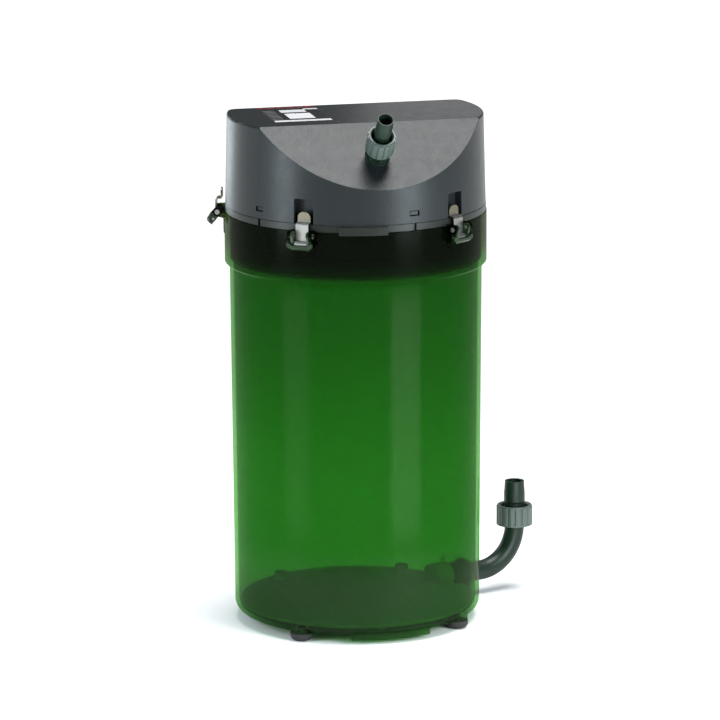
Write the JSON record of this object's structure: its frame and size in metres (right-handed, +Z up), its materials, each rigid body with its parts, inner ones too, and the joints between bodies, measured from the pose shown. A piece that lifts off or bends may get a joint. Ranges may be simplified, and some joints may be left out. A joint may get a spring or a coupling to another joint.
{
  "type": "canister filter",
  "caption": "Round external aquarium canister filter: a green translucent canister, a latched pump head with a sloped face, an inlet elbow low at the side and an outlet nozzle on top.",
  "frame": {"origin": "on the canister's axis, at the floor that its feet stand on", "axes": "+Z up along the canister's axis; -Y is the front, where the head slopes and the outlet stands; +X is the viewer's right"},
  "size_m": [0.2676, 0.2095, 0.4153],
  "materials": {
    "canister_green": "translucent bottle-green moulded plastic, glossy",
    "rubber": "matt moulded rubber",
    "screen_plastic": "dark grey moulded plastic",
    "fitting_plastic": "dark grey moulded plastic",
    "nut_plastic": "grey-green moulded plastic",
    "head_plastic": "slate grey moulded plastic, fine satin texture",
    "flange_plastic": "grey-green moulded plastic",
    "base_plastic": "black moulded plastic",
    "steel": "stainless steel",
    "strap_steel": "polished stainless strip",
    "ceramic": null,
    "magnet": "sintered ferrite magnet",
    "impeller_plastic": "white moulded plastic",
    "laminations": "stacked varnished steel sheets",
    "coil": "enamelled copper winding, taped",
    "lever_plastic": "green moulded plastic",
    "label": null,
    "trim": "plain red strip"
  },
  "bodies": {
    "filter": {"canister": "canister_green", "rubber_feet": "rubber", "bottom_screen": "screen_plastic", "top_screen": "screen_plastic", "inlet_elbow": "fitting_plastic", "inlet_grommet": "rubber", "head_shell": "head_plastic", "head_flange": "flange_plastic", "head_base": "base_plastic", "head_screws": "steel", "sealing_ring": "rubber", "pump_cover": "base_plastic", "rotor_well": "base_plastic", "rear_bush": "rubber", "front_bush": "rubber", "impeller_shaft": "ceramic", "stator_core": "laminations", "stator_coils": "coil", "stator_screws": "steel", "outlet_duct": "fitting_plastic", "outlet_seal": "rubber", "outlet_nozzle": "fitting_plastic", "cord_gland": "rubber", "type_label": "label", "trim_strip": "trim", "latch_pivot_pins": "steel"},
    "impeller": {"rotor_magnet": "magnet", "impeller_wheel": "impeller_plastic"},
    "inlet_nut": {"inlet_union_nut": "nut_plastic"},
    "outlet_nut": {"outlet_union_nut": "nut_plastic"},
    "lever_front_right": {"latch_lever_front_right": "lever_plastic", "latch_link_pin_front_right": "steel"},
    "strap_front_right": {"latch_strap_front_right": "strap_steel"},
    "lever_front_left": {"latch_lever_front_left": "lever_plastic", "latch_link_pin_front_left": "steel"},
    "strap_front_left": {"latch_strap_front_left": "strap_steel"},
    "lever_rear_right": {"latch_lever_rear_right": "lever_plastic", "latch_link_pin_rear_right": "steel"},
    "strap_rear_right": {"latch_strap_rear_right": "strap_steel"},
    "lever_rear_left": {"latch_lever_rear_left": "lever_plastic", "latch_link_pin_rear_left": "steel"},
    "strap_rear_left": {"latch_strap_rear_left": "strap_steel"}
  },
  "joints": [
    {"name": "impeller_spin", "type": "hinge", "parent": "filter", "child": "impeller", "pos_m": [0, 0, 0.33], "axis": [0, 0, 1], "continuous": true},
    {"name": "inlet_nut_turn", "type": "hinge", "parent": "filter", "child": "inlet_nut", "pos_m": [0.14095, 0.0513, 0.059], "axis": [0, 0, 1], "range_deg": [0, 360]},
    {"name": "outlet_nut_turn", "type": "hinge", "parent": "filter", "child": "outlet_nut", "pos_m": [0, -0.08466, 0.38918], "axis": [0, -0.6438, 0.7652], "range_deg": [0, 360]},
    {"name": "lever_front_right_turn", "type": "hinge", "parent": "filter", "child": "lever_front_right", "pos_m": [0.0626, -0.08616, 0.322], "axis": [-0.809, -0.5878, 0], "range_deg": [0, 110]},
    {"name": "strap_front_right_turn", "type": "hinge", "parent": "lever_front_right", "child": "strap_front_right", "pos_m": [0.06174, -0.08498, 0.31515], "axis": [-0.809, -0.5878, 0], "range_deg": [-110, 0]},
    {"name": "lever_front_left_turn", "type": "hinge", "parent": "filter", "child": "lever_front_left", "pos_m": [-0.0626, -0.08616, 0.322], "axis": [-0.809, 0.5878, 0], "range_deg": [0, 110]},
    {"name": "strap_front_left_turn", "type": "hinge", "parent": "lever_front_left", "child": "strap_front_left", "pos_m": [-0.06174, -0.08498, 0.31515], "axis": [-0.809, 0.5878, 0], "range_deg": [-110, 0]},
    {"name": "lever_rear_right_turn", "type": "hinge", "parent": "filter", "child": "lever_rear_right", "pos_m": [0.10129, 0.03291, 0.322], "axis": [0.309, -0.9511, 0], "range_deg": [0, 110]},
    {"name": "strap_rear_right_turn", "type": "hinge", "parent": "lever_rear_right", "child": "strap_rear_right", "pos_m": [0.0999, 0.03246, 0.31515], "axis": [0.309, -0.9511, 0], "range_deg": [-110, 0]},
    {"name": "lever_rear_left_turn", "type": "hinge", "parent": "filter", "child": "lever_rear_left", "pos_m": [-0.10129, 0.03291, 0.322], "axis": [0.309, 0.9511, 0], "range_deg": [-42, 68]},
    {"name": "strap_rear_left_turn", "type": "hinge", "parent": "lever_rear_left", "child": "strap_rear_left", "pos_m": [-0.10462, 0.03399, 0.31594], "axis": [0.309, 0.9511, 0], "range_deg": [-68, 42]}
  ],
  "couplings": [
    {"joint": "strap_front_right_turn", "follows": "lever_front_right_turn", "ratio": -1},
    {"joint": "strap_front_left_turn", "follows": "lever_front_left_turn", "ratio": -1},
    {"joint": "strap_rear_right_turn", "follows": "lever_rear_right_turn", "ratio": -1},
    {"joint": "strap_rear_left_turn", "follows": "lever_rear_left_turn", "ratio": -1}
  ]
}
